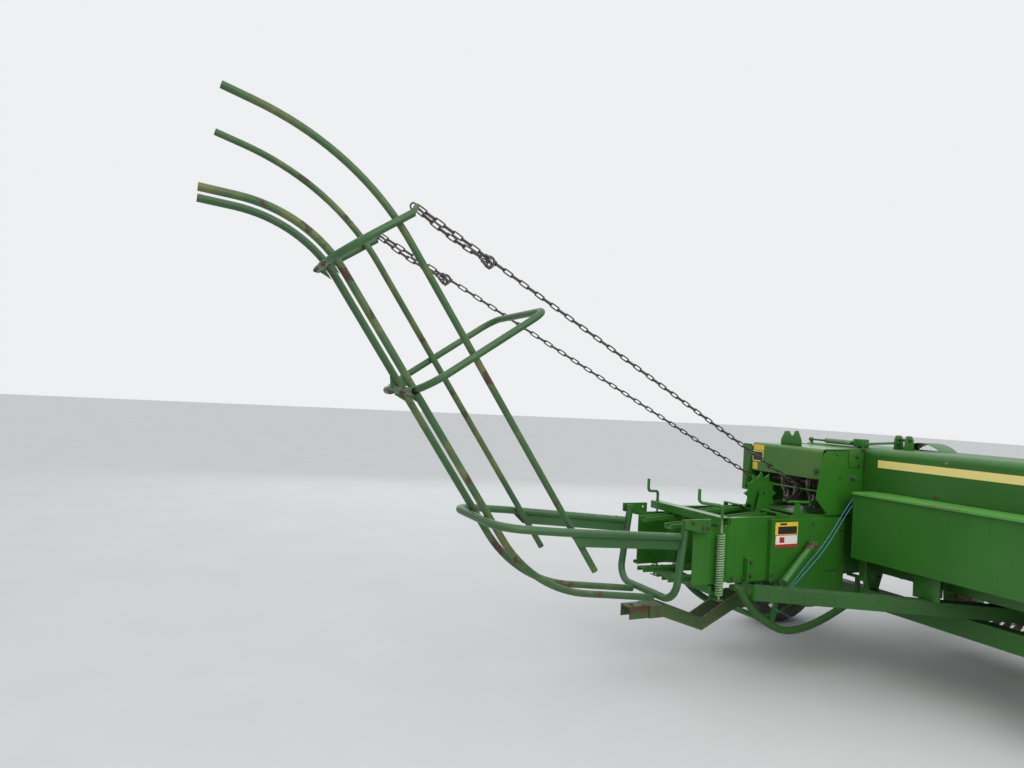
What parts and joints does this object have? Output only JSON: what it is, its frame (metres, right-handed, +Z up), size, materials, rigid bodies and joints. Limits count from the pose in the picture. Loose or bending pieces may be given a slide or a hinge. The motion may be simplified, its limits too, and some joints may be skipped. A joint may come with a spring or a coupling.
{
  "type": "small square baler",
  "caption": "Towed machine that presses hay into small square bales, with a side pickup, knotters and a bale chute to a wagon.",
  "frame": {"origin": "on the ground below the middle of the machine's overall length and width", "axes": "+X the way it is towed, along the bale case; +Y to its left; +Z up"},
  "size_m": [7.8944, 2.667, 2.8081],
  "materials": {
    "green_paint": "semi-gloss, dusty",
    "worn_green": "worn, with rust at the ends",
    "wheel_paint": "semi-gloss, dusty",
    "worn_steel": "worn",
    "pale_steel": "matt, weathered",
    "rusty_steel": "rusty",
    "dark_cover": "matt",
    "tyre": "dusty",
    "dark_rubber": "dusty"
  },
  "bodies": {
    "frame": {"case_side_right": "green_paint", "case_side_left": "green_paint", "case_floor": "green_paint", "case_roof": "green_paint", "tension_rails": "worn_green", "rail_hinges": "green_paint", "tension_panels": "green_paint", "tension_yokes": "green_paint", "tension_springs": "pale_steel", "tension_cranks": "worn_steel", "chute_hangers": "green_paint", "trip_linkage": "green_paint", "knotters": "worn_steel", "knotter_frame": "worn_green", "hood_ends": "green_paint", "needle_covers": "green_paint", "needle_guards": "green_paint", "beam": "green_paint", "beam_mounts": "green_paint", "twine_box": "green_paint", "feed_housing": "green_paint", "feed_floor": "green_paint", "housing_ends": "green_paint", "top_fittings": "green_paint", "axle": "green_paint", "main_frame": "green_paint", "crankcase": "green_paint", "flywheel_guard": "green_paint", "knotter_drive": "green_paint", "wagon_hitch": "rusty_steel"},
    "chute": {"chute_cradle": "worn_green", "chute_table": "worn_green", "chute_lower_rails": "worn_green", "chute_side_rails": "worn_green", "chute_middle_hoop": "worn_green", "chute_upper_hoop": "worn_green", "chute_gussets": "worn_green", "support_chains": "rusty_steel"},
    "star_wheel": {"star_wheel": "worn_steel"},
    "hood": {"hood": "green_paint"},
    "twine_box_lid": {"twine_box_lid": "green_paint"},
    "needles": {"needles": "worn_steel"},
    "auger": {"auger": "worn_steel"},
    "pickup": {"pickup_frame": "green_paint", "pickup_strippers": "worn_steel", "pickup_guard": "green_paint"},
    "pickup_reel": {"pickup_reel": "worn_steel"},
    "gauge_wheel": {"gauge_wheel": "dark_rubber"},
    "wheel_right": {"wheel_right": "wheel_paint", "tyre_right": "tyre"},
    "wheel_left": {"wheel_left": "wheel_paint", "tyre_left": "tyre"},
    "flywheel": {"flywheel": "green_paint"},
    "tongue": {"tongue": "green_paint", "hitch_clevis": "worn_steel", "tongue_brackets": "green_paint", "driveline": "dark_cover"},
    "jack": {"jack": "green_paint"}
  },
  "joints": [
    {"name": "wheel_right_spin", "type": "hinge", "parent": "frame", "child": "wheel_right", "pos_m": [0.24919, -1.1715, 0.365], "axis": [0, 1, 0], "continuous": true},
    {"name": "wheel_left_spin", "type": "hinge", "parent": "frame", "child": "wheel_left", "pos_m": [0.24919, 1.2185, 0.365], "axis": [0, 1, 0], "continuous": true},
    {"name": "star_wheel_spin", "type": "hinge", "parent": "frame", "child": "star_wheel", "pos_m": [-0.55581, 0.6185, 1.052], "axis": [0, 1, 0], "continuous": true},
    {"name": "hood_hinge", "type": "hinge", "parent": "frame", "child": "hood", "pos_m": [0.06219, 0.6185, 1.364], "axis": [0, 1, 0], "range_deg": [0, 95]},
    {"name": "twine_box_lid_hinge", "type": "hinge", "parent": "frame", "child": "twine_box_lid", "pos_m": [0.06219, -0.7215, 1.1003], "axis": [0, 1, 0], "range_deg": [0, 90]},
    {"name": "needle_swing", "type": "hinge", "parent": "frame", "child": "needles", "pos_m": [-0.59781, 0.6185, 0.76], "axis": [0, -1, 0], "range_deg": [0, 65]},
    {"name": "auger_spin", "type": "hinge", "parent": "frame", "child": "auger", "pos_m": [0.42219, -0.2815, 0.79], "axis": [0, 1, 0], "continuous": true},
    {"name": "pickup_lift", "type": "hinge", "parent": "frame", "child": "pickup", "pos_m": [0.75219, 0.2885, 0.56], "axis": [0, -1, 0], "range_deg": [0, 18]},
    {"name": "pickup_reel_spin", "type": "hinge", "parent": "pickup", "child": "pickup_reel", "pos_m": [1.07219, -0.3815, 0.415], "axis": [0, 1, 0], "continuous": true},
    {"name": "gauge_wheel_spin", "type": "hinge", "parent": "pickup", "child": "gauge_wheel", "pos_m": [1.13219, -1.2765, 0.158], "axis": [0, 1, 0], "continuous": true},
    {"name": "flywheel_spin", "type": "hinge", "parent": "frame", "child": "flywheel", "pos_m": [1.92219, 0.6185, 0.8], "axis": [1, 0, 0], "continuous": true},
    {"name": "tongue_swing", "type": "hinge", "parent": "frame", "child": "tongue", "pos_m": [2.19219, 0.6185, 0.45], "axis": [0, 0, 1], "range_deg": [0, 20]},
    {"name": "jack_fold", "type": "hinge", "parent": "tongue", "child": "jack", "pos_m": [3.19219, 0.7125, 0.45], "axis": [0, 1, 0], "range_deg": [0, 90]},
    {"name": "chute_tilt", "type": "hinge", "parent": "frame", "child": "chute", "pos_m": [-1.36781, 0.3475, 0.93], "axis": [0, 1, 0], "range_deg": [-6.5, 15], "deforming": ["support_chains"]}
  ]
}
